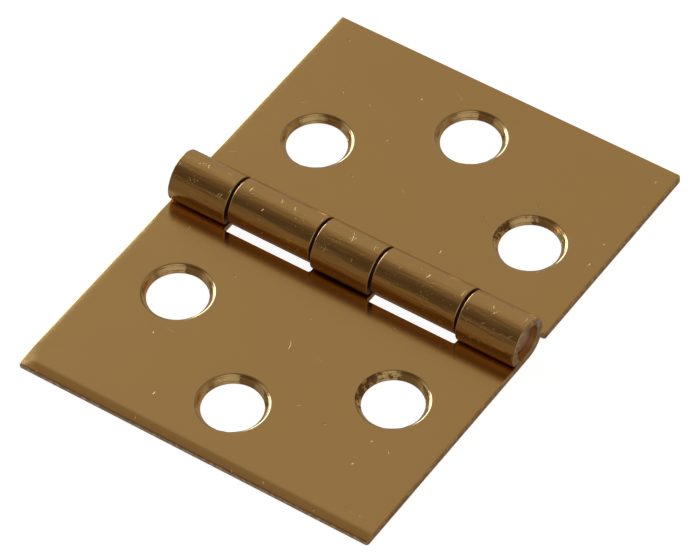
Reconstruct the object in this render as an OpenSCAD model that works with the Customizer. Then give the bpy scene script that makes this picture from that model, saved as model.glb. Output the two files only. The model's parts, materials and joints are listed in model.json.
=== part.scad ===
// Sheet-metal door hinge: two leaves with rolled knuckles that turn on one plain pin.
// X runs along the pin, Y across the open leaves and Z up, on the barrel's side.
// The origin is on the leaves' back faces, midway along the pin and under its axis.
// The hinge is drawn open, with both leaves flat.

/* [Overall] */
// Length of the hinge along its pin
hinge_l = 38.1; // [34:0.1:60]
// Width across both leaves when the hinge is open
open_w = 52; // [52:0.5:90]
// Thickness of the leaf sheet
sheet_t = 0.8; // [0.7:0.05:1]
// Radius of each leaf's two outer corners
corner_r = 0.3; // [0.1:0.1:3]

/* [Barrel] */
// Diameter of the pin
pin_d = 3; // [2.4:0.1:4]
// Running clearance between the pin and a knuckle's bore, on the radius
pin_clearance = 0.05; // [0.02:0.01:0.1]
// Width of each of the front leaf's three knuckles
front_knuckle_w = 6.3; // [4:0.1:8]
// Gap between one knuckle and the next
knuckle_gap = 0.3; // [0.1:0.05:0.6]
// Gap between a knuckle's barrel and the notch that clears it
notch_clearance = 0.3; // [0.2:0.05:0.6]
// Height of the seam where a knuckle's sheet comes back down to its own leaf
seam_gap = 0.12; // [0.05:0.01:0.2]

/* [Pin] */
// Depth of each end of the pin inside the barrel
pin_recess = 0.6; // [0.2:0.1:1.5]
// Length of the swelled part at each end that grips the outer knuckles
swell_l = 1.6; // [0.5:0.1:3]
// Grip of the swelled ends in their bores, on the radius
swell_grip = 0.01; // [0:0.005:0.02]
// Bevel on the rim of each end of the pin
pin_bevel = 0.2; // [0.1:0.05:0.4]

/* [Screw holes] */
// Diameter of a screw hole at the leaf's back face
hole_d = 5.8; // [4:0.1:6]
// Diameter of a countersink at the leaf's top face
countersink_d = 7.2; // [6.2:0.1:7.2]
// Distance between the two screw holes that lie near the barrel
inner_pitch = 23.7; // [16:0.1:26]
// Distance from the pin's axis to the two screw holes near the barrel
inner_row_y = 11.25; // [8:0.05:14]
// Distance from a leaf's outer edge to its third screw hole
outer_edge_distance = 6.55; // [5:0.05:9]

/* [Hidden] */
$fn = 96;

bore_r = pin_d / 2 + pin_clearance;
barrel_r = bore_r + sheet_t;
leaf_w = open_w / 2;
notch_y = barrel_r + notch_clearance;
rear_knuckle_w = (hinge_l - 3 * front_knuckle_w - 4 * knuckle_gap) / 2;
knuckle_pitch = (front_knuckle_w + rear_knuckle_w) / 2 + knuckle_gap;
front_knuckles_x = [-2 * knuckle_pitch, 0, 2 * knuckle_pitch];
rear_knuckles_x = [-knuckle_pitch, knuckle_pitch];
countersink_depth = (countersink_d - hole_d) / 2; // a 90 degree cone
outer_hole_y = leaf_w - outer_edge_distance;
cut = 1; // overrun of a cutting shape past the face it cuts

// Cylinder along X, centred on x
module bar_x(r, length, x = 0) {
    translate([x - length / 2, 0, 0])
        rotate([0, 90, 0])
            cylinder(r = r, h = length);
}

// Leaf outline, from the pin's axis out to two rounded outer corners
module leaf_outline() {
    translate([-hinge_l / 2, 0])
        square([hinge_l, leaf_w - corner_r]);
    translate([-hinge_l / 2 + corner_r, 0])
        square([hinge_l - 2 * corner_r, leaf_w]);
    for (side = [-1, 1])
        translate([side * (hinge_l / 2 - corner_r), leaf_w - corner_r])
            circle(r = corner_r);
}

// Screw hole with its cone open at the leaf's top face
module screw_hole(x, y) {
    translate([x, y, -cut])
        cylinder(d = hole_d, h = sheet_t + 2 * cut);
    translate([x, y, sheet_t - countersink_depth])
        cylinder(d1 = hole_d, d2 = countersink_d, h = countersink_depth);
    translate([x, y, sheet_t])
        cylinder(d = countersink_d, h = cut);
}

// Notch in the barrel's edge of a leaf, for one knuckle of the other leaf
module notch(x, w) {
    translate([x - w / 2 - knuckle_gap, -cut, -cut])
        cube([w + 2 * knuckle_gap, notch_y + cut, sheet_t + 2 * cut]);
}

// Seam that parts the end of a knuckle's sheet from its own leaf
module seam(x, w) {
    translate([x - w / 2 - cut, 0, sheet_t])
        cube([w + 2 * cut, barrel_r + cut, seam_gap]);
}

// One leaf reaching towards +Y, with its own knuckles and notches for the other's
module leaf(own_x, own_w, other_x, other_w) {
    difference() {
        union() {
            difference() {
                linear_extrude(sheet_t)
                    leaf_outline();
                for (x = other_x)
                    notch(x, other_w);
            }
            for (x = own_x)
                translate([0, 0, barrel_r])
                    bar_x(barrel_r, own_w, x);
        }
        for (x = own_x) {
            translate([0, 0, barrel_r])
                bar_x(bore_r, own_w + 2 * cut, x);
            seam(x, own_w);
        }
        for (x = [-inner_pitch / 2, inner_pitch / 2])
            screw_hole(x, inner_row_y);
        screw_hole(0, outer_hole_y);
    }
}

module front_leaf() {
    color("#8F6E40")
        rotate([0, 0, 180])
            leaf(front_knuckles_x, front_knuckle_w, rear_knuckles_x, rear_knuckle_w);
}

module rear_leaf() {
    color("#93713F")
        leaf(rear_knuckles_x, rear_knuckle_w, front_knuckles_x, front_knuckle_w);
}

// Plain pin, swelled at both ends where it's staked into the outer knuckles
module hinge_pin() {
    half_l = hinge_l / 2 - pin_recess;
    pin_r = pin_d / 2;
    swell_r = bore_r + swell_grip;
    color("#9C7A5A")
        translate([0, 0, barrel_r])
            rotate([0, 90, 0])
                rotate_extrude()
                    polygon([
                        [0, -half_l],
                        [swell_r - pin_bevel, -half_l],
                        [swell_r, -half_l + pin_bevel],
                        [swell_r, -half_l + swell_l],
                        [pin_r, -half_l + swell_l + pin_bevel],
                        [pin_r, half_l - swell_l - pin_bevel],
                        [swell_r, half_l - swell_l],
                        [swell_r, half_l - pin_bevel],
                        [swell_r - pin_bevel, half_l],
                        [0, half_l]
                    ]);
}

front_leaf();
rear_leaf();
hinge_pin();
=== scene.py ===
# A small brass hinge with rolled knuckles, lying open on a white table.
# Sizes in the dictionaries are millimetres and degrees; meshes are built in metres.
import json
import math
from types import SimpleNamespace

import bmesh
import bpy
import numpy as np
from mathutils import Matrix, Vector
from mathutils.geometry import delaunay_2d_cdt


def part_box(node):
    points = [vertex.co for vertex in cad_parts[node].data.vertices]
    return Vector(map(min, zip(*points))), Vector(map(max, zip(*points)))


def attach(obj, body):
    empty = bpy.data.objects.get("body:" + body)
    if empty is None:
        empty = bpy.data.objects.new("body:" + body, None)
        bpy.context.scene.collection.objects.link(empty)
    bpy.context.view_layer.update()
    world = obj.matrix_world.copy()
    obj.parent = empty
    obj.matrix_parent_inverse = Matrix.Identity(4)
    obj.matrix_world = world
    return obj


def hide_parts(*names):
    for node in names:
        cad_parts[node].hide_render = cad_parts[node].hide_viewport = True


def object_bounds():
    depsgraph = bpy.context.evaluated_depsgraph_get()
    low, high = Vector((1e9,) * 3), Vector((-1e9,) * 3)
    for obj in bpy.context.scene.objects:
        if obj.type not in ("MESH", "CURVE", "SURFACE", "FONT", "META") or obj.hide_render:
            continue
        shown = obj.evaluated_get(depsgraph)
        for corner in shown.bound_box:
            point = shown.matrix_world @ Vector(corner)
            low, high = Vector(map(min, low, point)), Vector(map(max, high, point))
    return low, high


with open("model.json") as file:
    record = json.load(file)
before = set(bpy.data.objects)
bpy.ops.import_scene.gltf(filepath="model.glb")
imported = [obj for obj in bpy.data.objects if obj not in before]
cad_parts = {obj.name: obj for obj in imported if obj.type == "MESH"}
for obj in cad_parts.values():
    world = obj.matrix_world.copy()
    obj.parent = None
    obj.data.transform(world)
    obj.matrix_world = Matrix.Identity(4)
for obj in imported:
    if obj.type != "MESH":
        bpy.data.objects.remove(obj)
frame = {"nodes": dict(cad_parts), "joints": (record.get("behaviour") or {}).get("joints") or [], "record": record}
cadLow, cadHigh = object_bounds()
print("frame loaded:", ", ".join(sorted(frame["nodes"])))

mm = 0.001


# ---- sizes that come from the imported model

mounts = {m["name"]: m for m in frame["record"]["mounts"]}
swing = next(j for j in frame["joints"] if j["name"] == "leaf_swing")
barrelR = swing["pos_m"][2] / mm
hingeLength = (cadHigh.x - cadLow.x) / mm
leafWidth = cadHigh.y / mm
innerScrews = mounts["rear_leaf_inner_screws"]
outerScrew = mounts["rear_leaf_outer_screw"]
holeR = outerScrew["dims"]["r_mm"]
holeCentres = [
    (-innerScrews["dims"]["spacing_x_mm"] / 2, innerScrews["pos_m"][1] / mm),
    (innerScrews["dims"]["spacing_x_mm"] / 2, innerScrews["pos_m"][1] / mm),
    (outerScrew["pos_m"][0] / mm, outerScrew["pos_m"][1] / mm),
]


# ---- small helpers

def newMeshObject(name, points, faces):
    mesh = bpy.data.meshes.new(name)
    mesh.from_pydata([tuple(p) for p in points], [], faces)
    mesh.validate()
    mesh.polygons.foreach_set("use_smooth", [True] * len(mesh.polygons))
    obj = bpy.data.objects.new(name, mesh)
    bpy.context.scene.collection.objects.link(obj)
    return obj


def newTree(name, inputs):
    tree = bpy.data.node_groups.new(name, "GeometryNodeTree")
    tree.interface.new_socket("Geometry", in_out="INPUT", socket_type="NodeSocketGeometry")
    sockets = {}
    for label, kind in inputs:
        sockets[label] = tree.interface.new_socket(label, in_out="INPUT", socket_type=kind)
    tree.interface.new_socket("Geometry", in_out="OUTPUT", socket_type="NodeSocketGeometry")
    return tree, sockets


def addNode(tree, kind, settings=None, **values):
    # values are matched to input sockets by name, with _ for a space; a socket value makes a link
    node = tree.nodes.new(kind)
    for key, value in (settings or {}).items():
        setattr(node, key, value)
    for key, value in values.items():
        index = int(key[2:]) if key.startswith("in") and key[2:].isdigit() else key.replace("_", " ")
        if isinstance(value, bpy.types.NodeSocket):
            tree.links.new(value, node.inputs[index])
        else:
            node.inputs[index].default_value = value
    return node


def maths(tree, operation, a, b=0.0, c=0.0):
    return addNode(tree, "ShaderNodeMath", {"operation": operation}, in0=a, in1=b, in2=c).outputs[0]


def product(tree, first, *others):
    for other in others:
        first = maths(tree, "MULTIPLY", first, other)
    return first


def oneMinus(tree, value):
    return maths(tree, "SUBTRACT", 1.0, value)


def ramp(tree, value, low, high, start=0.0, end=1.0, smooth=False):
    # runs from start to end while the value goes from low to high
    settings = {"interpolation_type": "SMOOTHSTEP" if smooth else "LINEAR"}
    return addNode(tree, "ShaderNodeMapRange", settings, Value=value,
                   From_Min=low, From_Max=high, To_Min=start, To_Max=end).outputs[0]


def noise(tree, place, scale, detail, roughness=0.5):
    return addNode(tree, "ShaderNodeTexNoise", None, Vector=place,
                   Scale=scale, Detail=detail, Roughness=roughness).outputs["Fac"]


def mapped(tree, vector, **settings):
    return addNode(tree, "ShaderNodeMapping", None, Vector=vector, **settings).outputs[0]


def attribute(tree, name, output="Fac"):
    return addNode(tree, "ShaderNodeAttribute", {"attribute_name": name}).outputs[output]


def axesOf(tree, vector):
    return list(addNode(tree, "ShaderNodeSeparateXYZ", None, Vector=vector).outputs)


def fromAxes(tree, **axes):
    return addNode(tree, "ShaderNodeCombineXYZ", None, **axes).outputs[0]


def newMetal(name):
    material = bpy.data.materials.new(name)
    material.use_nodes = True
    shader = material.node_tree.nodes["Principled BSDF"]
    shader.inputs["Metallic"].default_value = 1.0
    return material, material.node_tree, shader


def bakeTree(obj, tree, sockets, values):
    # runs the tree once and keeps its result as a plain mesh
    modifier = obj.modifiers.new("build", "NODES")
    modifier.node_group = tree
    for label, value in values.items():
        modifier[sockets[label].identifier] = value
    evaluated = obj.evaluated_get(bpy.context.evaluated_depsgraph_get())
    mesh = bpy.data.meshes.new_from_object(evaluated)
    obj.modifiers.remove(modifier)
    obj.data = mesh
    mesh.name = obj.name
    return obj


# ---- brass

brassLook = {
    "tone": (0.80, 0.478, 0.165),
    "redTone": (0.79, 0.442, 0.140),
    "edgeTint": (1.0, 0.97, 0.92),
    "cutTone": (0.62, 0.37, 0.17),
    # pale patches on the cut edges: torn metal, and partly a painted highlight
    "tornTone": (0.95, 0.66, 0.42),
    "coneTone": (0.80, 0.50, 0.19),
    "insideTone": (0.72, 0.45, 0.19),
    "scratchTone": (0.97, 0.80, 0.50),
    # dark brown of real specks, also used as painted shade in the gaps, the crease and on the countersinks
    "tarnishAndShade": (0.15, 0.065, 0.018),
    "roughness": 0.20,
    "grain": 0.05,            # roughness that the fine grain adds
    "clouds": 0.06,           # and that handling marks add
    "cutRoughness": 0.42,
    "coneRoughness": 0.14,
    "insideExtra": 0.25,      # added inside the knuckles
    "scratchExtra": 0.15,
    "dirtExtra": 0.25,
    "scratchShine": 0.25,
    "reliefDepth": 0.03,
}
# repeats of each pattern in a millimetre
patternScale = {
    "drift": 0.11,
    "clouds": 0.22,
    "patches": 0.42,
    "specks": 0.6,
    "blots": 0.75,
    "waver": 0.9,
    "skin": 1.6,
    "torn": 2.4,
    "pits": 3.6,
    "turned": 5.5,
    "grain": 6.0,
}
# height of each pattern, in relief depths; below zero is cut in
reliefHeights = {
    "scratches": -0.55,
    "skin": 0.10,
    "drawn": 5.0,
    "turned": 3.6,
    "torn": 1.6,
    "specks": -0.6,
    "pits": -0.9,
}
# scratches: repeats in a millimetre, half length and width, bend, angle between two crossed strokes,
# how often and how strongly they come, and whether only the knuckles have them
scratchKinds = {
    "comma": {"scale": 0.33, "half": (0.22, 0.065), "bend": 1.1, "cross": 0.0,
              "often": 1.0, "strength": 1.0, "barrelOnly": False},
    "score": {"scale": 0.62, "half": (0.24, 0.024), "bend": 0.3, "cross": 0.9,
              "often": 0.8, "strength": 1.0, "barrelOnly": True},
    "fleck": {"scale": 1.30, "half": (0.10, 0.026), "bend": 1.5, "cross": 0.0,
              "often": 1.0, "strength": 0.55, "barrelOnly": True},
    "hair": {"scale": 0.23, "half": (0.6, 0.03), "bend": 0.25, "cross": 0.0,
             "often": 0.7, "strength": 0.7, "barrelOnly": False},
}
frontMarks = {
    "flatShare": 0.14,        # share of cells that hold a scratch, on the flat
    "barrelShare": 0.34,
    "rimShare": 0.8,
    "speckShare": 0.22,
    "stain": 0.50,            # lower spreads the painted shade patches on the countersinks
    # strength of the painted shade in the crease in front of the middle knuckle
    "creaseShade": 0.85,
}
rearMarks = {
    "flatShare": 0.07,
    "barrelShare": 0.30,
    "rimShare": 0.05,
    "speckShare": 0.12,
    # threshold for the painted shade patches on the countersinks
    "stain": 0.49,
    # strength of the painted shade in the crease in front of the middle knuckle
    "creaseShade": 0.25,
}


def blend(tree, share, first, second):
    mix = addNode(tree, "ShaderNodeMix", {"data_type": "RGBA"})
    for index, value in ((0, share), (6, first), (7, second)):
        if isinstance(value, bpy.types.NodeSocket):
            tree.links.new(value, mix.inputs[index])
        else:
            mix.inputs[index].default_value = value if index == 0 else (*value, 1)
    return mix.outputs[2]


def strokes(tree, place, kind, share):
    # short curved marks, at most one to a cell, some with a second stroke across the first
    halfLength, halfWidth = kind["half"]
    cells = addNode(tree, "ShaderNodeTexVoronoi", {"voronoi_dimensions": "2D"},
                    Vector=place, Scale=kind["scale"]).outputs
    own = addNode(tree, "ShaderNodeSeparateColor", None, Color=cells["Color"]).outputs
    local = addNode(tree, "ShaderNodeVectorMath", {"operation": "SUBTRACT"},
                    in0=place, in1=cells["Position"]).outputs[0]
    turn = maths(tree, "MULTIPLY", own[0], 2 * math.pi)
    picked = maths(tree, "LESS_THAN", own[1], share)
    longer = maths(tree, "MULTIPLY_ADD", own[2], halfLength, halfLength / 2)
    result = 0.0
    for extra in sorted({0.0, kind["cross"]}):
        facing = maths(tree, "MULTIPLY_ADD", own[2], extra, maths(tree, "ADD", turn, extra / 2))
        turned = addNode(tree, "ShaderNodeVectorRotate", {"rotation_type": "Z_AXIS"},
                         Vector=local, Angle=facing).outputs[0]
        x, y, _ = axesOf(tree, turned)
        along = maths(tree, "DIVIDE", maths(tree, "ABSOLUTE", x), longer)
        aside = maths(tree, "ABSOLUTE", maths(tree, "SUBTRACT", y, product(tree, x, x, kind["bend"])))
        taper = maths(tree, "SUBTRACT", 1.0, product(tree, along, along))
        body = maths(tree, "SUBTRACT", taper, maths(tree, "DIVIDE", aside, halfWidth))
        result = maths(tree, "MAXIMUM", result, body)
    return product(tree, maths(tree, "MINIMUM", product(tree, result, 1.6), 1.0), picked)


def surfaceSpots(tree, seed):
    # where a point is, in the piece and on the flat sheet before rolling, and what kind of face it's on;
    # the seed shifts each leaf's patterns
    at = SimpleNamespace()
    coords = addNode(tree, "ShaderNodeTexCoord").outputs
    at.place, at.normal = coords["Object"], coords["Normal"]
    at.placeMm = mapped(tree, at.place, Location=(seed * 37, seed * 19, seed * 7), Scale=(1000, 1000, 1000))
    # the sheet's own coordinates follow the roll, so marks keep their shape round a knuckle
    sheet = attribute(tree, "sheetPlace", "Vector")
    at.sheetMm = mapped(tree, sheet, Location=(seed * 23, seed * 11, 0), Scale=(1000, 1000, 0))
    at.across, at.along, height = axesOf(tree, sheet)
    at.onBarrel = ramp(tree, at.along, 1.0 * mm, -1.0 * mm)
    at.inside = product(tree, ramp(tree, height, (sheetT - 0.06) * mm, (sheetT - 0.01) * mm), at.onBarrel)
    at.cone, at.groove = attribute(tree, "cone"), attribute(tree, "groove")
    at.cut = product(tree, attribute(tree, "cutEdge"), oneMinus(tree, at.cone))
    at.torn = noise(tree, at.placeMm, patternScale["torn"], 4.0)
    return at


def brassFlaws(tree, at, marks):
    # brown specks, painted shade in patches on the countersinks, and scratches, each as a share from 0 to 1
    flaws = SimpleNamespace()
    cells = addNode(tree, "ShaderNodeTexVoronoi", None,
                    Vector=at.placeMm, Scale=patternScale["specks"]).outputs
    speckPick = addNode(tree, "ShaderNodeSeparateColor", None, Color=cells["Color"]).outputs[0]
    flaws.specks = product(tree, ramp(tree, cells["Distance"], 0.03, 0.07, 1.0, 0.0),
                           maths(tree, "LESS_THAN", speckPick, marks["speckShare"]))

    # painted shade in patches on the sides of the cones that face the right end, strongest near that end
    blots = noise(tree, at.placeMm, patternScale["blots"], 5.0, 0.7)
    stain = ramp(tree, blots, marks["stain"], marks["stain"] + 0.05, 0.0, 0.85)
    facing = addNode(tree, "ShaderNodeVectorMath", {"operation": "DOT_PRODUCT"},
                     in0=at.normal, in1=(0.987, -0.16, 0)).outputs["Value"]
    shadedSide = ramp(tree, facing, 0.28, 0.50, smooth=True)
    nearEnd = ramp(tree, axesOf(tree, at.place)[0], 2 * mm, 8 * mm, 0.25)
    flaws.stain = product(tree, stain, at.cone, shadedSide, nearEnd)

    # commas and hairs on the flat, crossed scores and fine flecks on the knuckles
    share = ramp(tree, at.onBarrel, 0.0, 1.0, marks["flatShare"], marks["barrelShare"])
    onRim = ramp(tree, at.along, (leafWidth - 1.3) * mm, (leafWidth - 0.9) * mm, 0.0, marks["rimShare"])
    share = maths(tree, "MAXIMUM", share, onRim)
    scratches = 0.0
    for kind in scratchKinds.values():
        mark = strokes(tree, at.sheetMm, kind, product(tree, share, kind["often"]))
        mark = product(tree, mark, kind["strength"], at.onBarrel if kind["barrelOnly"] else 1.0)
        scratches = maths(tree, "MAXIMUM", scratches, mark)
    flaws.scratches = product(tree, scratches, oneMinus(tree, maths(tree, "MAXIMUM", at.cone, at.cut)))
    return flaws


def brassColor(tree, at, flaws, look, marks):
    # slow drift between two tones of the polished sheet, then the cones, cut edges and bores
    drift = noise(tree, at.placeMm, patternScale["drift"], 3.0, 0.55)
    color = blend(tree, drift, look["tone"], look["redTone"])
    color = blend(tree, at.cone, color, look["coneTone"])
    # cut edges with pale torn patches, which also stand in as painted highlights
    cutColor = blend(tree, ramp(tree, at.torn, 0.48, 0.64), look["cutTone"], look["tornTone"])
    color = blend(tree, at.cut, color, cutColor)
    color = blend(tree, at.inside, color, look["insideTone"])

    # painted shade: darker on the cut sides in the gaps between knuckles, and in the crease in front of the
    # knuckles, thickest at the middle one
    # painted shade on the cut sides between the knuckles, fading out at the two outer ends
    fromMiddle = maths(tree, "ABSOLUTE", at.across)
    gapShade = ramp(tree, fromMiddle, (hingeLength / 2 - 0.4) * mm, (hingeLength / 2 - 0.15) * mm, 0.75, 0.0)
    gapShade = product(tree, gapShade, at.cut, at.onBarrel)
    # painted shade in the crease where the flat meets the knuckles
    crease = ramp(tree, at.along, 3.4 * mm, 2.3 * mm, smooth=True)
    middle = ramp(tree, fromMiddle, 5 * mm, 1 * mm, 0.22, marks["creaseShade"], smooth=True)
    creaseShadeShare = product(tree, crease, middle, oneMinus(tree, at.onBarrel))
    # real brown specks together with the painted shade patches on the cones
    stained = maths(tree, "MAXIMUM", product(tree, flaws.specks, 0.6), flaws.stain)
    # blended towards the dark brown: painted shade in the gaps, the crease and on the cones, and real specks
    for share in (gapShade, creaseShadeShare, stained):
        color = blend(tree, share, color, look["tarnishAndShade"])
    return blend(tree, product(tree, flaws.scratches, look["scratchShine"]), color, look["scratchTone"])


def brassRoughness(tree, at, flaws, look):
    rough = look["roughness"] - look["grain"] / 2 - look["clouds"] / 2
    for share, amount in (
        (noise(tree, at.placeMm, patternScale["grain"], 4.0), look["grain"]),
        (noise(tree, at.placeMm, patternScale["clouds"], 4.0), look["clouds"]),
        (at.cut, look["cutRoughness"] - look["roughness"]),
        (at.cone, look["coneRoughness"] - look["roughness"]),
        (at.inside, look["insideExtra"]),
        (flaws.scratches, look["scratchExtra"]),
        (maths(tree, "MAXIMUM", flaws.specks, flaws.stain), look["dirtExtra"]),
    ):
        rough = maths(tree, "MULTIPLY_ADD", share, amount, rough)
    return rough


def brassRelief(tree, at, flaws, look):
    drawn = noise(tree, mapped(tree, at.sheetMm, Scale=(0.16, 1.6, 1)), 1.0, 4.0)
    # lines that the countersinking tool turned, from just below the rim downwards
    waver = noise(tree, at.placeMm, patternScale["waver"], 3.0)
    turned = addNode(tree, "ShaderNodeTexNoise", {"noise_dimensions": "1D"}, Scale=patternScale["turned"],
                     Detail=1.0, W=maths(tree, "MULTIPLY_ADD", waver, 0.14, at.groove)).outputs[0]
    belowRim = ramp(tree, at.groove, 0.0, 0.12)
    # pitted patches on the knuckles
    pitCells = addNode(tree, "ShaderNodeTexVoronoi", None,
                       Vector=at.placeMm, Scale=patternScale["pits"]).outputs
    pits = ramp(tree, pitCells["Distance"], 0.12, 0.42, 1.0, 0.0)
    patches = ramp(tree, noise(tree, at.placeMm, patternScale["patches"], 3.0), 0.55, 0.64)
    heights = {
        "scratches": flaws.scratches,
        "skin": noise(tree, at.placeMm, patternScale["skin"], 3.0),
        "drawn": product(tree, drawn, at.onBarrel),
        "turned": product(tree, maths(tree, "SUBTRACT", turned, 0.5), belowRim, at.cone),
        "torn": product(tree, at.torn, at.cut),
        "specks": flaws.specks,
        "pits": product(tree, pits, patches, at.onBarrel),
    }
    relief = 0.0
    for kind, height in heights.items():
        relief = maths(tree, "MULTIPLY_ADD", height, reliefHeights[kind], relief)
    return addNode(tree, "ShaderNodeBump", None, Height=relief, Strength=0.6,
                   Distance=look["reliefDepth"] * mm).outputs[0]


def brass(name, seed, look, marks):
    material, tree, shader = newMetal(name)
    shader.distribution = "GGX"
    shader.inputs["Specular Tint"].default_value = (*look["edgeTint"], 1)
    at = surfaceSpots(tree, seed)
    flaws = brassFlaws(tree, at, marks)
    tree.links.new(brassColor(tree, at, flaws, look, marks), shader.inputs["Base Color"])
    tree.links.new(brassRoughness(tree, at, flaws, look), shader.inputs["Roughness"])
    tree.links.new(brassRelief(tree, at, flaws, look), shader.inputs["Normal"])
    return material


# ---- the leaves: a flat blank with tabs, three countersunk holes, and knuckles rolled round the pin

leafSizes = {
    "sheetThickness": 0.8,
    "frontKnuckleWidth": 6.3,
    "knuckleGap": 0.3,
    "notchClearance": 0.3,
    "outerCornerR": 0.32,
    "tabCornerR": 0.24,
    "notchCornerR": 0.22,
    "edgeRound": 0.11,        # rounding of every cut edge
    "seamGap": 0.13,          # between a knuckle's tail and its own leaf
    "tailLift": 0.38,         # how far the tail springs outwards
    "rollUnevenness": 0.045,  # out-of-round of the knuckles
    "sheetWave": 0.012,       # long waves in the flat sheet
    "rollDip": 0.09,          # hollow that the rolling tool leaves in front of the knuckles
    "rollDipAt": 2.3,         # its distance from the pin's axis
    "rollDipSpread": 1.5,
    "rowStep": 0.052,         # spacing of the rows that bend
    "gridStep": 1.1,
    "fineStep": 0.14,         # spacing of the grid near the outer edges
    "fineBand": 2.1,
}
# how the top face falls off towards each outer edge, and at one bent corner
frontFall = {
    "outer": {"width": 0.95, "drop": 0.27, "power": 1.12},
    "low": {"width": 0.35, "drop": 0.04, "power": 2.0},
    "high": {"width": 0.75, "drop": 0.055, "power": 2.0},
    "corner": {"reach": 2.1, "lean": 0.6, "drop": 0.28, "power": 1.3},
}
rearFall = {
    "outer": {"width": 0.5, "drop": 0.05, "power": 2.0},
    "low": {"width": 0.75, "drop": 0.045, "power": 2.0},
    "high": {"width": 0.35, "drop": 0.04, "power": 2.0},
}
countersink = {
    "topR": 3.6,
    "rimRound": 0.32,
    "land": 0.10,             # straight part of the hole at the back face
    "footRound": 0.04,
    "turns": 144,             # points round a hole
    "facets": 11,             # flats that a chattering cutter leaves on the cone
    "facetDepth": 0.05,
}
sheetT = leafSizes["sheetThickness"]
boreR = barrelR - sheetT
neutralR = barrelR - sheetT / 2
notchY = barrelR + leafSizes["notchClearance"]
holdEdge = 0.03               # narrow ring that keeps the flat faces flat
cornerSteps = 6               # parts of each rounded corner
rimSteps = 5                  # points on a countersink's rounded rim
coneSteps = 9                 # parts of its cone below that
footSteps = 3                 # parts of its rounded foot
coneEnd = rimSteps + coneSteps
frontKnuckleW = leafSizes["frontKnuckleWidth"]
gap = leafSizes["knuckleGap"]
rearKnuckleW = (hingeLength - 3 * frontKnuckleW - 4 * gap) / 2
knucklePitch = (frontKnuckleW + rearKnuckleW) / 2 + gap
frontCentres = (-2 * knucklePitch, 0, 2 * knucklePitch)
rearCentres = (-knucklePitch, knucklePitch)
frontTabs = [(x - frontKnuckleW / 2, x + frontKnuckleW / 2) for x in frontCentres]
rearTabs = [(x - rearKnuckleW / 2, x + rearKnuckleW / 2) for x in rearCentres]


def tailAngle(radius):
    # where a layer of the rolled sheet ends, level with the seam
    seamDepth = barrelR - sheetT - leafSizes["seamGap"]
    return 2 * math.pi - math.acos(seamDepth / (radius + leafSizes["tailLift"]))


outerTail = -neutralR * tailAngle(barrelR)
innerTail = -neutralR * tailAngle(boreR)
rowCount = round(-outerTail / leafSizes["rowStep"])
rowLevels = [outerTail * i / rowCount for i in range(rowCount + 1)]
plateLevels = list(np.arange(leafSizes["gridStep"] / 2, leafWidth, leafSizes["gridStep"] / 2))
levels = sorted(rowLevels + plateLevels)


def blankCorners(tabs):
    # outline of the flat blank, anticlockwise, as x, s and corner radius; tabs reach towards -s
    half = hingeLength / 2
    tabR, notchR, cornerR = (leafSizes[k] for k in ("tabCornerR", "notchCornerR", "outerCornerR"))
    corners = []
    if tabs[0][0] > -half + 0.01:
        corners.append((-half, notchY, tabR))
    for low, high in tabs:
        if low > -half + 0.01:
            corners.append((low, notchY, notchR))
        corners.append((low, outerTail, tabR))
        corners.append((high, outerTail, tabR))
        if high < half - 0.01:
            corners.append((high, notchY, notchR))
    if tabs[-1][1] < half - 0.01:
        corners.append((half, notchY, tabR))
    corners.append((half, leafWidth, cornerR))
    corners.append((-half, leafWidth, cornerR))
    return corners


def outlinePoints(corners):
    # points along the outline, each with its inward normal
    points = []
    count = len(corners)
    for i, (x, s, radius) in enumerate(corners):
        here = Vector((x, s))
        before = Vector(corners[i - 1][:2])
        after = Vector(corners[(i + 1) % count][:2])
        afterR = corners[(i + 1) % count][2]
        arrive = (here - before).normalized()
        leave = (after - here).normalized()
        inwardA = Vector((-arrive.y, arrive.x))
        inwardB = Vector((-leave.y, leave.x))
        convex = arrive.x * leave.y - arrive.y * leave.x > 0
        side = 1 if convex else -1
        centre = here - arrive * radius + side * inwardA * radius
        for k in range(cornerSteps + 1):
            mix = k / cornerSteps * math.pi / 2
            inward = inwardA * math.cos(mix) + inwardB * math.sin(mix)
            points.append((centre - side * inward * radius, inward))
        start, end = here + leave * radius, after - leave * afterR
        if abs(leave.x) < 0.5:                  # a side: stop at every shared level
            low, high = sorted((start.y, end.y))
            inside = [v for v in levels if low + 0.02 < v < high - 0.02]
            for v in inside if leave.y > 0 else reversed(inside):
                points.append((Vector((start.x, v)), inwardB))
        else:
            parts = max(1, round((end - start).length / (leafSizes["gridStep"] / 2)))
            for k in range(1, parts):
                points.append((start.lerp(end, k / parts), inwardB))
    return points


def insideOutline(points, outline):
    # even-odd test of many points against a closed outline
    px, py = points[:, 0][:, None], points[:, 1][:, None]
    ax, ay = outline[:, 0][None], outline[:, 1][None]
    bx, by = np.roll(outline[:, 0], -1)[None], np.roll(outline[:, 1], -1)[None]
    spans = (ay > py) != (by > py)
    rise = np.where(by == ay, 1e-12, by - ay)
    crossing = spans & (px < ax + (py - ay) / rise * (bx - ax))
    return crossing.sum(1) % 2 == 1


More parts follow.
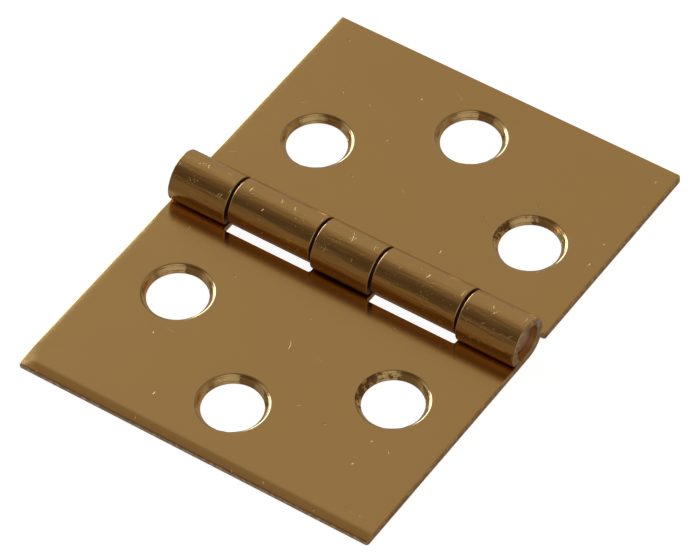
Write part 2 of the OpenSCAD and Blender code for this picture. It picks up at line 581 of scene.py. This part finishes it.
def fallOff(x, s, falls):
    # drop of the top face near the three outer edges
    drop = 0.0
    half = hingeLength / 2
    fade = min(1.0, max(0.0, (s - 1.0) / 3.0))  # none on the tabs
    outerShare, cornerDrop = 1.0, 0.0
    if "corner" in falls:
        bend = falls["corner"]
        away = max(0.0, (half - x + bend["lean"] * (leafWidth - s)) / bend["reach"])
        near = max(0.0, 1.0 - away)
        outerShare = 1.0 - near * near * (3 - 2 * near)
        cornerDrop = bend["drop"] * near ** bend["power"]
    for side, distance in (("outer", leafWidth - s), ("low", x + half), ("high", half - x)):
        fall = falls[side]
        depth = max(0.0, 1.0 - max(0.0, distance) / fall["width"])
        drop = max(drop, fall["drop"] * depth ** fall["power"] * (outerShare if side == "outer" else fade))
    spread = (s - leafSizes["rollDipAt"]) / leafSizes["rollDipSpread"]
    dip = leafSizes["rollDip"] * math.exp(-spread ** 2 / 2) * min(1.0, max(0.0, s / 1.2))
    return max(drop, dip, cornerDrop)


def faceTriangles(loop, holes, tabs):
    # fills one face of the blank between its outline and its holes
    outline = np.array(loop)
    points = [Vector(p) for p in loop]
    edges = [(i, (i + 1) % len(loop)) for i in range(len(loop))]
    for low, high in tabs:                      # rows across each tab keep the roll true
        rows = {}
        for i, (x, s) in enumerate(loop):
            if low - 0.01 < x < high + 0.01 and s < 0.02:
                rows.setdefault(round(s, 4), []).append(i)
        for ends in rows.values():
            if len(ends) == 2 and abs(loop[ends[0]][0] - loop[ends[1]][0]) > (high - low) * 0.8:
                edges.append(tuple(ends))
    for ring in holes:
        first = len(points)
        points += [Vector(p) for p in ring]
        edges += [(first + i, first + (i + 1) % len(ring)) for i in range(len(ring))]
    half = hingeLength / 2
    step, fineBand = leafSizes["gridStep"], leafSizes["fineBand"]
    near = list(np.arange(0.20, fineBand, leafSizes["fineStep"]))
    middle = list(np.arange(-half + fineBand + 0.5, half - fineBand - 0.2, step))
    xs = sorted([-half + d for d in near] + [half - d for d in near] + middle)
    ss = sorted([leafWidth - d for d in near] + list(np.arange(0.6, leafWidth - fineBand - 0.3, step / 2)))
    spare = np.array([(x, s) for x in xs for s in ss])
    keep = insideOutline(spare, outline)
    for ring in holes:
        centre = np.mean(ring, 0)
        radius = np.hypot(*(np.array(ring[0]) - centre))
        keep &= np.hypot(*(spare - centre).T) > radius + 0.12
    walls = np.array(loop)
    clear = np.array([np.min(np.hypot(*(walls - p).T)) > 0.09 for p in spare])
    points += [Vector(p) for p in spare[keep & clear]]
    flat, _, faces, origin, _, _ = delaunay_2d_cdt(points, edges, [], 0, 1e-7)
    ringOf = {}
    first = len(loop)
    for k, ring in enumerate(holes):
        for i in range(len(ring)):
            ringOf[first + i] = k
        first += len(ring)
    source = [o[0] if o else -1 for o in origin]
    corners = np.array([[flat[v][:] for v in f] for f in faces])
    inside = insideOutline(corners.mean(1), outline)
    kept = []
    for f, ok, c in zip(faces, inside, corners):
        if not ok:
            continue
        rings = {ringOf.get(source[v], -1) for v in f}
        if len(rings) == 1 and -1 not in rings:  # lies inside a hole
            continue
        ab, ac = c[1] - c[0], c[2] - c[0]
        turn = ab[0] * ac[1] - ab[1] * ac[0]
        kept.append(tuple(f) if turn > 0 else tuple(reversed(f)))
    return flat, kept


def blankObject(name, tabs, falls):
    # the sheet before rolling: two faces and a rounded cut edge all the way round
    path = outlinePoints(blankCorners(tabs))
    edge = leafSizes["edgeRound"]
    profile = [(edge + holdEdge, sheetT)]
    for k in range(6):
        a = math.pi / 2 * k / 5
        profile.append((edge * (1 - math.sin(a)), sheetT - edge * (1 - math.cos(a))))
    profile.append((0.0, sheetT / 2))
    profile += [(inset, sheetT - z) for inset, z in reversed(profile[:-1])]

    points, faces = [], []
    count = len(path)
    for inset, z in profile:
        for point, inward in path:
            spot = point + inward * inset
            points.append([spot.x, spot.y, z])
    for k in range(len(profile) - 1):
        for i in range(count):
            j = (i + 1) % count
            faces.append((k * count + i, (k + 1) * count + i, (k + 1) * count + j, k * count + j))

    turns = countersink["turns"]
    angles = [2 * math.pi * i / turns for i in range(turns)]
    for ringIndex, z, radius in (
        (0, sheetT, ringProfile()[0][0]),
        (len(profile) - 1, 0.0, ringProfile()[-1][0]),
    ):
        loop = [tuple(points[ringIndex * count + i][:2]) for i in range(count)]
        circle = [(radius * math.cos(a), radius * math.sin(a)) for a in angles]
        holes = [[(cx + x, cy + y) for x, y in circle] for cx, cy in holeCentres]
        flat, triangles = faceTriangles(loop, holes, tabs)
        first = len(points)
        points += [[p.x, p.y, z] for p in flat]
        for f in triangles:
            f = f if z > 0 else tuple(reversed(f))
            faces.append(tuple(first + v for v in f))

    for p in points:
        p[2] -= fallOff(p[0], p[1], falls) * p[2] / sheetT
        if p[1] < 0:                            # the tail's end face lies level with the leaf once rolled
            reach = outerTail + (innerTail - outerTail) * p[2] / sheetT
            share = max(0.0, (p[1] / outerTail - 0.80) / 0.20)
            p[1] += (reach - outerTail) * share
    obj = newMeshObject(name, np.array(points) * mm, faces)
    weld(obj, 1e-7)
    return obj


def weld(obj, distance):
    bm = bmesh.new()
    bm.from_mesh(obj.data)
    bmesh.ops.remove_doubles(bm, verts=bm.verts, dist=distance)
    bm.to_mesh(obj.data)
    bm.free()


def ringProfile():
    # section of a countersunk hole, from the top face to the back face, as radius and height
    topR, rim, land, foot = (countersink[k] for k in ("topR", "rimRound", "land", "footRound"))
    profile = [(topR + holdEdge, sheetT)]
    for k in range(rimSteps):                   # the rim rolls over into the cone
        a = math.pi / 4 * k / (rimSteps - 1)
        profile.append((topR - rim * math.sin(a), sheetT - rim * (1 - math.cos(a))))
    (r0, z0), (r1, z1) = profile[-1], (holeR + 0.01, land + 0.01)
    for k in range(1, coneSteps + 1):
        u = k / coneSteps
        profile.append((r0 + (r1 - r0) * u, z0 + (z1 - z0) * u))
    profile.append((holeR, land - 0.005))
    profile.append((holeR, foot + 0.01))
    for k in range(1, footSteps + 1):
        a = math.pi / 2 * k / footSteps
        profile.append((holeR + foot * (1 - math.cos(a)), foot * (1 - math.sin(a))))
    profile.append((holeR + foot + holdEdge, 0.0))
    return profile


def ringObject(name):
    # one countersunk hole's wall, with the facets that a chattering cutter leaves on the cone
    profile = ringProfile()
    turns, facets = countersink["turns"], countersink["facets"]
    points, faces = [], []
    for k, (radius, z) in enumerate(profile):
        u = (k - rimSteps) / coneSteps if rimSteps <= k <= coneEnd else 0.0
        for i in range(turns):
            a = 2 * math.pi * i / turns
            uneven = 0.45 * math.sin(2 * a) + 0.2 * math.sin(3 * a)
            phase = (a * facets / (2 * math.pi) + uneven) % 1.0
            bow = 1.0 - (2 * phase - 1) ** 2    # a flat lies inside the round cone at its middle
            r = radius - countersink["facetDepth"] * math.sin(math.pi * u) * bow
            points.append((r * math.cos(a), r * math.sin(a), z))
    for k in range(len(profile) - 1):
        for i in range(turns):
            j = (i + 1) % turns
            faces.append((k * turns + i, k * turns + j, (k + 1) * turns + j, (k + 1) * turns + i))
    obj = newMeshObject(name, np.array(points) * mm, faces)
    for label, values in (
        ("cone", [1.0 if 1 <= k <= coneEnd else 0.0 for k in range(len(profile))]),
        ("groove", [max(0.0, sheetT - z) for _, z in profile]),
    ):
        data = obj.data.attributes.new(label, "FLOAT", "POINT").data
        data.foreach_set("value", [v for v in values for _ in range(turns)])
    return obj


def leafTree():
    # sets the countersinks, welds them in, waves the sheet, and rolls the tabs into knuckles
    tree, sockets = newTree("rolledLeaf", [
        ("Countersink", "NodeSocketObject"),
        ("Inner Pitch", "NodeSocketFloat"),
        ("Inner Row", "NodeSocketFloat"),
        ("Outer Row", "NodeSocketFloat"),
        ("Points Round Hole", "NodeSocketInt"),
        ("Barrel Radius", "NodeSocketFloat"),
        ("Neutral Radius", "NodeSocketFloat"),
        ("Tail Angle", "NodeSocketFloat"),
        ("Tail Lift", "NodeSocketFloat"),
        ("Roll Unevenness", "NodeSocketFloat"),
        ("Sheet Wave", "NodeSocketFloat"),
        ("Turn", "NodeSocketFloat"),
        ("Seed", "NodeSocketInt"),
        ("Material", "NodeSocketMaterial"),
    ])
    given = tree.nodes.new("NodeGroupInput").outputs

    # three hole centres
    spots = addNode(tree, "GeometryNodePoints", None, Count=3)
    index = addNode(tree, "GeometryNodeInputIndex").outputs[0]
    firstHole = fromAxes(tree, X=product(tree, given["Inner Pitch"], -0.5), Y=given["Inner Row"])
    secondHole = fromAxes(tree, X=product(tree, given["Inner Pitch"], 0.5), Y=given["Inner Row"])
    thirdHole = fromAxes(tree, Y=given["Outer Row"])
    choose = addNode(tree, "GeometryNodeIndexSwitch", {"data_type": "VECTOR"})
    choose.index_switch_items.new()
    for socket, value in zip(choose.inputs, (index, firstHole, secondHole, thirdHole)):
        tree.links.new(value, socket)
    tree.links.new(choose.outputs[0], spots.inputs["Position"])

    # each countersink is turned by a whole number of its points, so that it still meets the sheet
    lastStep = maths(tree, "SUBTRACT", given["Points Round Hole"], 1.0)
    steps = addNode(tree, "FunctionNodeRandomValue", {"data_type": "INT"})
    tree.links.new(lastStep, steps.inputs[5])
    tree.links.new(index, steps.inputs["ID"])
    tree.links.new(given["Seed"], steps.inputs["Seed"])
    oneStep = maths(tree, "DIVIDE", 2 * math.pi, given["Points Round Hole"])
    spin = maths(tree, "MULTIPLY", steps.outputs[2], oneStep)
    ring = addNode(tree, "GeometryNodeObjectInfo", None, Object=given["Countersink"])
    rings = addNode(tree, "GeometryNodeInstanceOnPoints", None, Points=spots.outputs[0],
                    Instance=ring.outputs["Geometry"], Rotation=fromAxes(tree, Z=spin))
    solidRings = addNode(tree, "GeometryNodeRealizeInstances", None, Geometry=rings.outputs[0])
    joined = tree.nodes.new("GeometryNodeJoinGeometry")
    tree.links.new(solidRings.outputs[0], joined.inputs[0])
    tree.links.new(given["Geometry"], joined.inputs[0])
    welded = addNode(tree, "GeometryNodeMergeByDistance", None, Geometry=joined.outputs[0], Distance=2e-7)

    # place on the flat sheet, kept with the mesh for the material, as is how far a face is a cut edge
    place = addNode(tree, "GeometryNodeInputPosition").outputs[0]
    placed = addNode(tree, "GeometryNodeStoreNamedAttribute",
                     {"data_type": "FLOAT_VECTOR", "domain": "POINT"},
                     Geometry=welded.outputs[0], Name="sheetPlace", Value=place)
    upright = axesOf(tree, addNode(tree, "GeometryNodeInputNormal").outputs[0])[2]
    cutEdge = ramp(tree, maths(tree, "ABSOLUTE", upright), 0.42, 0.9, 1.0, 0.0)
    edged = addNode(tree, "GeometryNodeStoreNamedAttribute", {"data_type": "FLOAT", "domain": "POINT"},
                    Geometry=placed.outputs[0], Name="cutEdge", Value=cutEdge)
    x, s, z = axesOf(tree, place)

    # long waves in the flat part
    seedShift = fromAxes(tree, Z=product(tree, given["Seed"], 7.31))
    waveAt = addNode(tree, "ShaderNodeVectorMath", {"operation": "MULTIPLY_ADD"},
                     in0=place, in1=(70, 70, 0), in2=seedShift).outputs[0]
    waves = noise(tree, waveAt, 1.0, 1.0)
    flatShare = ramp(tree, s, 0.0, 4 * mm)
    waveHeight = product(tree, maths(tree, "SUBTRACT", waves, 0.5), flatShare, given["Sheet Wave"])
    flatPlace = fromAxes(tree, X=x, Y=s, Z=maths(tree, "ADD", z, waveHeight))

    # the roll: height through the sheet becomes radius, distance along it becomes angle
    angle = maths(tree, "DIVIDE", product(tree, s, -1.0), given["Neutral Radius"])
    bulgeAt = fromAxes(tree, X=product(tree, x, 90.0), Y=product(tree, angle, 0.75),
                       Z=product(tree, given["Seed"], 3.17))
    bulge = maths(tree, "SUBTRACT", noise(tree, bulgeAt, 1.0, 1.0), 0.5)
    bulgeShare = ramp(tree, angle, 0.0, 1.2, smooth=True)
    bulged = product(tree, product(tree, bulge, 2.0), product(tree, bulgeShare, given["Roll Unevenness"]))
    tailStart = maths(tree, "SUBTRACT", given["Tail Angle"], 1.25)
    tailShare = ramp(tree, angle, tailStart, given["Tail Angle"], smooth=True)
    radius = maths(tree, "ADD", maths(tree, "SUBTRACT", given["Barrel Radius"], z),
                   maths(tree, "MULTIPLY_ADD", tailShare, given["Tail Lift"], bulged))
    rollY = product(tree, radius, maths(tree, "SINE", angle), -1.0)
    drop = product(tree, radius, maths(tree, "COSINE", angle))
    rollZ = maths(tree, "SUBTRACT", given["Barrel Radius"], drop)
    rollPlace = fromAxes(tree, X=x, Y=rollY, Z=rollZ)

    onTab = addNode(tree, "FunctionNodeCompare", {"data_type": "FLOAT", "operation": "LESS_THAN"},
                    in0=s, in1=0.0)
    pick = addNode(tree, "GeometryNodeSwitch", {"input_type": "VECTOR"},
                   Switch=onTab.outputs[0], in1=flatPlace, in2=rollPlace)
    rolled = addNode(tree, "GeometryNodeSetPosition", None,
                     Geometry=edged.outputs[0], Position=pick.outputs[0])
    turned = addNode(tree, "GeometryNodeTransform", None,
                     Geometry=rolled.outputs[0], Rotation=fromAxes(tree, Z=given["Turn"]))
    smooth = addNode(tree, "GeometryNodeSetShadeSmooth", None, Geometry=turned.outputs[0])
    real = addNode(tree, "GeometryNodeRealizeInstances", None, Geometry=smooth.outputs[0])
    done = addNode(tree, "GeometryNodeSetMaterial", None,
                   Geometry=real.outputs[0], Material=given["Material"])
    out = tree.nodes.new("NodeGroupOutput")
    tree.links.new(done.outputs[0], out.inputs[0])
    return tree, sockets


def makeLeaf(name, tabs, falls, turn, seed, material, tree, sockets, ring):
    leaf = blankObject(name, tabs, falls)
    bakeTree(leaf, tree, sockets, {
        "Countersink": ring,
        "Inner Pitch": (holeCentres[1][0] - holeCentres[0][0]) * mm,
        "Inner Row": holeCentres[0][1] * mm,
        "Outer Row": holeCentres[2][1] * mm,
        "Points Round Hole": countersink["turns"],
        "Barrel Radius": barrelR * mm,
        "Neutral Radius": neutralR * mm,
        "Tail Angle": tailAngle(barrelR),
        "Tail Lift": leafSizes["tailLift"] * mm,
        "Roll Unevenness": leafSizes["rollUnevenness"] * mm,
        "Sheet Wave": leafSizes["sheetWave"] * mm,
        "Turn": turn,
        "Seed": seed,
        "Material": material,
    })
    return leaf


frontBrass = brass("frontBrass", 1, brassLook, frontMarks)
rearBrass = brass("rearBrass", 5, brassLook, rearMarks)
ring = ringObject("countersinkRing")
rolledLeaf, leafSockets = leafTree()
frontLeaf = makeLeaf("frontLeafSheet", frontTabs, frontFall, math.pi, 3, frontBrass,
                     rolledLeaf, leafSockets, ring)
rearLeaf = makeLeaf("rearLeafSheet", rearTabs, rearFall, 0.0, 8, rearBrass,
                    rolledLeaf, leafSockets, ring)
bpy.data.objects.remove(ring)
print("leaves rolled:", len(frontLeaf.data.polygons), "and", len(rearLeaf.data.polygons), "faces")


# ---- the pin

pinSizes = {
    "bodyR": 1.5,
    "swellLength": 1.6,
    "bevel": 0.18,
    "dome": 0.07,
    "turns": 96,
    "faceSteps": 12,
    "bevelSteps": 5,
}
pinLook = {
    "darkTone": (0.60, 0.37, 0.25),
    "paleTone": (0.92, 0.68, 0.52),
    "roughness": (0.24, 0.49),
    "shearDepth": 0.2,        # marks of the shear that cut the wire
}


def pinMaterial(name, look):
    material, tree, shader = newMetal(name)
    place = mapped(tree, addNode(tree, "ShaderNodeTexCoord").outputs["Object"], Scale=(1000, 1000, 1000))
    color = blend(tree, noise(tree, place, 1.3, 5.0, 0.65), look["darkTone"], look["paleTone"])
    tree.links.new(color, shader.inputs["Base Color"])
    streaks = noise(tree, mapped(tree, place, Rotation=(0.7, 0, 0), Scale=(1, 0.7, 3)), 1.5, 4.0)
    low, high = look["roughness"]
    tree.links.new(maths(tree, "MULTIPLY_ADD", streaks, high - low, low), shader.inputs["Roughness"])
    bump = addNode(tree, "ShaderNodeBump", None,
                   Height=streaks, Strength=0.8, Distance=look["shearDepth"] * mm)
    tree.links.new(bump.outputs[0], shader.inputs["Normal"])
    return material


def makePin(name, material):
    low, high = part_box("hinge_pin")
    half = (high.x - low.x) / 2 / mm
    swellR = (high.z - low.z) / 2 / mm
    bodyR, swell, bevel, dome = (pinSizes[k] for k in ("bodyR", "swellLength", "bevel", "dome"))
    faceSteps, bevelSteps, turns = (pinSizes[k] for k in ("faceSteps", "bevelSteps", "turns"))
    section = []                                # from the middle of the end face back to the plain body
    for k in range(faceSteps + 1):              # a slightly domed face
        r = (swellR - bevel) * k / faceSteps
        section.append((half - dome * (r / (swellR - bevel)) ** 2, r))
    for k in range(1, bevelSteps + 1):
        a = math.pi / 2 * k / bevelSteps
        section.append((half - dome - bevel * (1 - math.cos(a)), swellR - bevel + bevel * math.sin(a)))
    section.append((half - swell, swellR))
    section.append((half - swell - 0.2, bodyR))
    section += [(-x, r) for x, r in reversed(section)]
    points, faces = [(section[0][0], 0, barrelR)], []
    rings = section[1:-1]
    for x, r in rings:
        for i in range(turns):
            a = 2 * math.pi * i / turns
            points.append((x, r * math.cos(a), barrelR + r * math.sin(a)))
    points.append((section[-1][0], 0, barrelR))
    last = len(points) - 1
    for i in range(turns):
        j = (i + 1) % turns
        faces.append((0, 1 + i, 1 + j))
        for k in range(len(rings) - 1):
            a, b = 1 + k * turns, 1 + (k + 1) * turns
            faces.append((a + i, b + i, b + j, a + j))
        end = 1 + (len(rings) - 1) * turns
        faces.append((last, end + j, end + i))
    pin = newMeshObject(name, np.array(points) * mm, faces)
    pin.data.materials.append(material)
    return pin


hingePin = makePin("hingePinWire", pinMaterial("cutWire", pinLook))
print("pin made")


# ---- bodies and nodes

for piece, body, node, slot in (
    (frontLeaf, "fixed_leaf", "front_leaf", "front_leaf_brass"),
    (rearLeaf, "swinging_leaf", "rear_leaf", "rear_leaf_brass"),
    (hingePin, "fixed_leaf", "hinge_pin", "pin_metal"),
):
    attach(piece, body)
    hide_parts(node)
print("pieces ride on their bodies")


# ---- table, light and camera

stageLook = {
    "floorSize": 3.0,             # metres
    "floorGap": 0.02,             # below the leaves' back faces
    "floorGlow": 0.93,
    "backGlow": 1.0,
}
# places and sizes in metres; glow is how bright a panel looks
lightPanels = {
    "leftPanel": {"place": (-0.50, 0.19, 0.205), "size": (0.46, 0.32),
                  "glow": 3.5, "color": (0.80, 1.0, 1.5)},
    "lowLeftPanel": {"place": (-0.60, 0.07, 0.06), "size": (0.36, 0.16),
                     "glow": 1.0, "color": (1, 1, 1)},
}
# brightness of the room by direction: 0 is the rear horizon, 90 overhead and 180 the front horizon
roomGlow = [
    (0, 0.352), (11, 0.315), (27, 0.30), (54, 0.25), (75, 0.21), (97, 0.205), (107, 0.33),
    (117, 0.44), (134, 0.49), (150, 0.47), (168, 0.30), (185, 0.16), (212, 0.32), (245, 0.34),
    (265, 0.10), (290, 0.14), (308, 0.27), (324, 0.30), (334, 0.44), (346, 0.42), (354, 0.352),
]
# the same through the dark side of the room, which lies in front and to the left
darkGlow = [
    (0, 0.352), (58, 0.352), (72, 0.325), (88, 0.225), (104, 0.142), (120, 0.098), (138, 0.065),
    (151, 0.08), (161, 0.175), (184, 0.185), (198, 0.13), (214, 0.32), (245, 0.34), (265, 0.10),
    (290, 0.14), (308, 0.27), (335, 0.30), (350, 0.35),
]
darkSide = {
    "rightEdge": (0.20, 0.14),    # share of the way to the right where the dark side starts and is full
    "leftEdge": (-0.85, -0.5),
    "darkTint": (1.03, 0.86, 0.68),
    "darkBelow": 0.33,            # tinted darker under this brightness, and paler over the next
    "paleTint": (0.98, 1.05, 1.15),
    "paleAbove": 0.36,
}


def glowRamp(tree, share, stopsWanted):
    # brightness against direction, warmer where it is darker and cooler where it is lighter
    colors = addNode(tree, "ShaderNodeValToRGB", None, Fac=share)
    stops = colors.color_ramp.elements
    stops.remove(stops[0])
    darkBelow, paleAbove = darkSide["darkBelow"], darkSide["paleAbove"]
    for k, (degrees, glow) in enumerate(stopsWanted):
        stop = stops[0] if k == 0 else stops.new(degrees / 360)
        stop.position = degrees / 360
        tint = darkSide["darkTint"] if glow < darkBelow else darkSide["paleTint"]
        plain = darkBelow <= glow <= paleAbove
        amount = 0.0 if plain else min(1.0, abs(glow - (darkBelow + paleAbove) / 2) / 0.15)
        stop.color = (*[glow * (1 + (t - 1) * amount) for t in tint], 1)
    return colors.outputs[0]


def makeRoom():
    world = bpy.data.worlds.new("softRoom")
    bpy.context.scene.world = world
    world.use_nodes = True
    tree = world.node_tree
    tree.nodes.clear()
    way = addNode(tree, "ShaderNodeTexCoord").outputs["Generated"]
    x, y, z = axesOf(tree, way)
    angle = maths(tree, "DIVIDE", maths(tree, "ARCTAN2", z, y), 2 * math.pi)
    share = maths(tree, "FRACT", maths(tree, "ADD", angle, 1.0))
    fromRight = ramp(tree, x, *darkSide["rightEdge"], smooth=True)
    fromLeft = ramp(tree, x, *darkSide["leftEdge"], smooth=True)
    glow = blend(tree, product(tree, fromRight, fromLeft),
                 glowRamp(tree, share, roomGlow), glowRamp(tree, share, darkGlow))
    room = addNode(tree, "ShaderNodeBackground", None, Color=glow)
    backdrop = addNode(tree, "ShaderNodeBackground", None,
                       Color=(1, 1, 1, 1), Strength=stageLook["backGlow"])
    seen = addNode(tree, "ShaderNodeLightPath").outputs["Is Camera Ray"]
    both = addNode(tree, "ShaderNodeMixShader", None,
                   in0=seen, in1=room.outputs[0], in2=backdrop.outputs[0])
    out = tree.nodes.new("ShaderNodeOutputWorld")
    tree.links.new(both.outputs[0], out.inputs[0])


def makeFloor():
    half = stageLook["floorSize"] / 2
    drop = cadLow.z - stageLook["floorGap"] * mm
    corners = [(-half, -half, drop), (half, -half, drop), (half, half, drop), (-half, half, drop)]
    floor = newMeshObject("table", corners, [(0, 1, 2, 3)])
    material = bpy.data.materials.new("whiteTable")
    material.use_nodes = True
    tree = material.node_tree
    shader = tree.nodes["Principled BSDF"]
    shader.inputs["Base Color"].default_value = (0.3, 0.3, 0.3, 1)
    shader.inputs["Roughness"].default_value = 0.9
    shader.inputs["Specular IOR Level"].default_value = 0.0
    shader.inputs["Emission Color"].default_value = (1, 1, 1, 1)
    shader.inputs["Emission Strength"].default_value = stageLook["floorGlow"]
    floor.data.materials.append(material)
    floor.visible_glossy = False


def areaLight(name, place, size, glow, color):
    # faces the hinge, and its power follows from its size
    light = bpy.data.lights.new(name, "AREA")
    light.color = color
    light.shape = "RECTANGLE"
    light.size, light.size_y = size
    light.energy = glow * math.pi * size[0] * size[1]
    lamp = bpy.data.objects.new(name, light)
    bpy.context.scene.collection.objects.link(lamp)
    lamp.location = place
    lamp.rotation_euler = (-Vector(place)).to_track_quat("-Z", "Y").to_euler()
    lamp.visible_camera = False


cameraLook = {
    "azimuth": 35.685,            # degrees from the front, towards the right end
    "elevation": 48.284,
    "roll": -1.981,
    "distance": 499.9,
    "target": (-0.249, -1.139, 0.0),
    "lens": 285.0,
    "clip": (0.01, 10),           # metres
}


def makeCamera():
    a, e, roll = (math.radians(cameraLook[k]) for k in ("azimuth", "elevation", "roll"))
    back = Vector((math.sin(a) * math.cos(e), -math.cos(a) * math.cos(e), math.sin(e)))
    right = Vector((math.cos(a), math.sin(a), 0))
    up = back.cross(right)
    tiltedRight = right * math.cos(roll) + up * math.sin(roll)
    tiltedUp = up * math.cos(roll) - right * math.sin(roll)
    data = bpy.data.cameras.new("camera")
    data.lens = cameraLook["lens"]
    data.clip_start, data.clip_end = cameraLook["clip"]
    camera = bpy.data.objects.new("camera", data)
    bpy.context.scene.collection.objects.link(camera)
    place = Vector(cameraLook["target"]) * mm + back * cameraLook["distance"] * mm
    turn = Matrix((tiltedRight, tiltedUp, back)).transposed().to_4x4()
    camera.matrix_world = Matrix.Translation(place) @ turn
    bpy.context.scene.camera = camera


makeRoom()
makeFloor()
for panelName, panel in lightPanels.items():
    areaLight(panelName, **panel)
makeCamera()
bpy.context.scene.view_settings.view_transform = "Standard"
print("table, light and camera set")
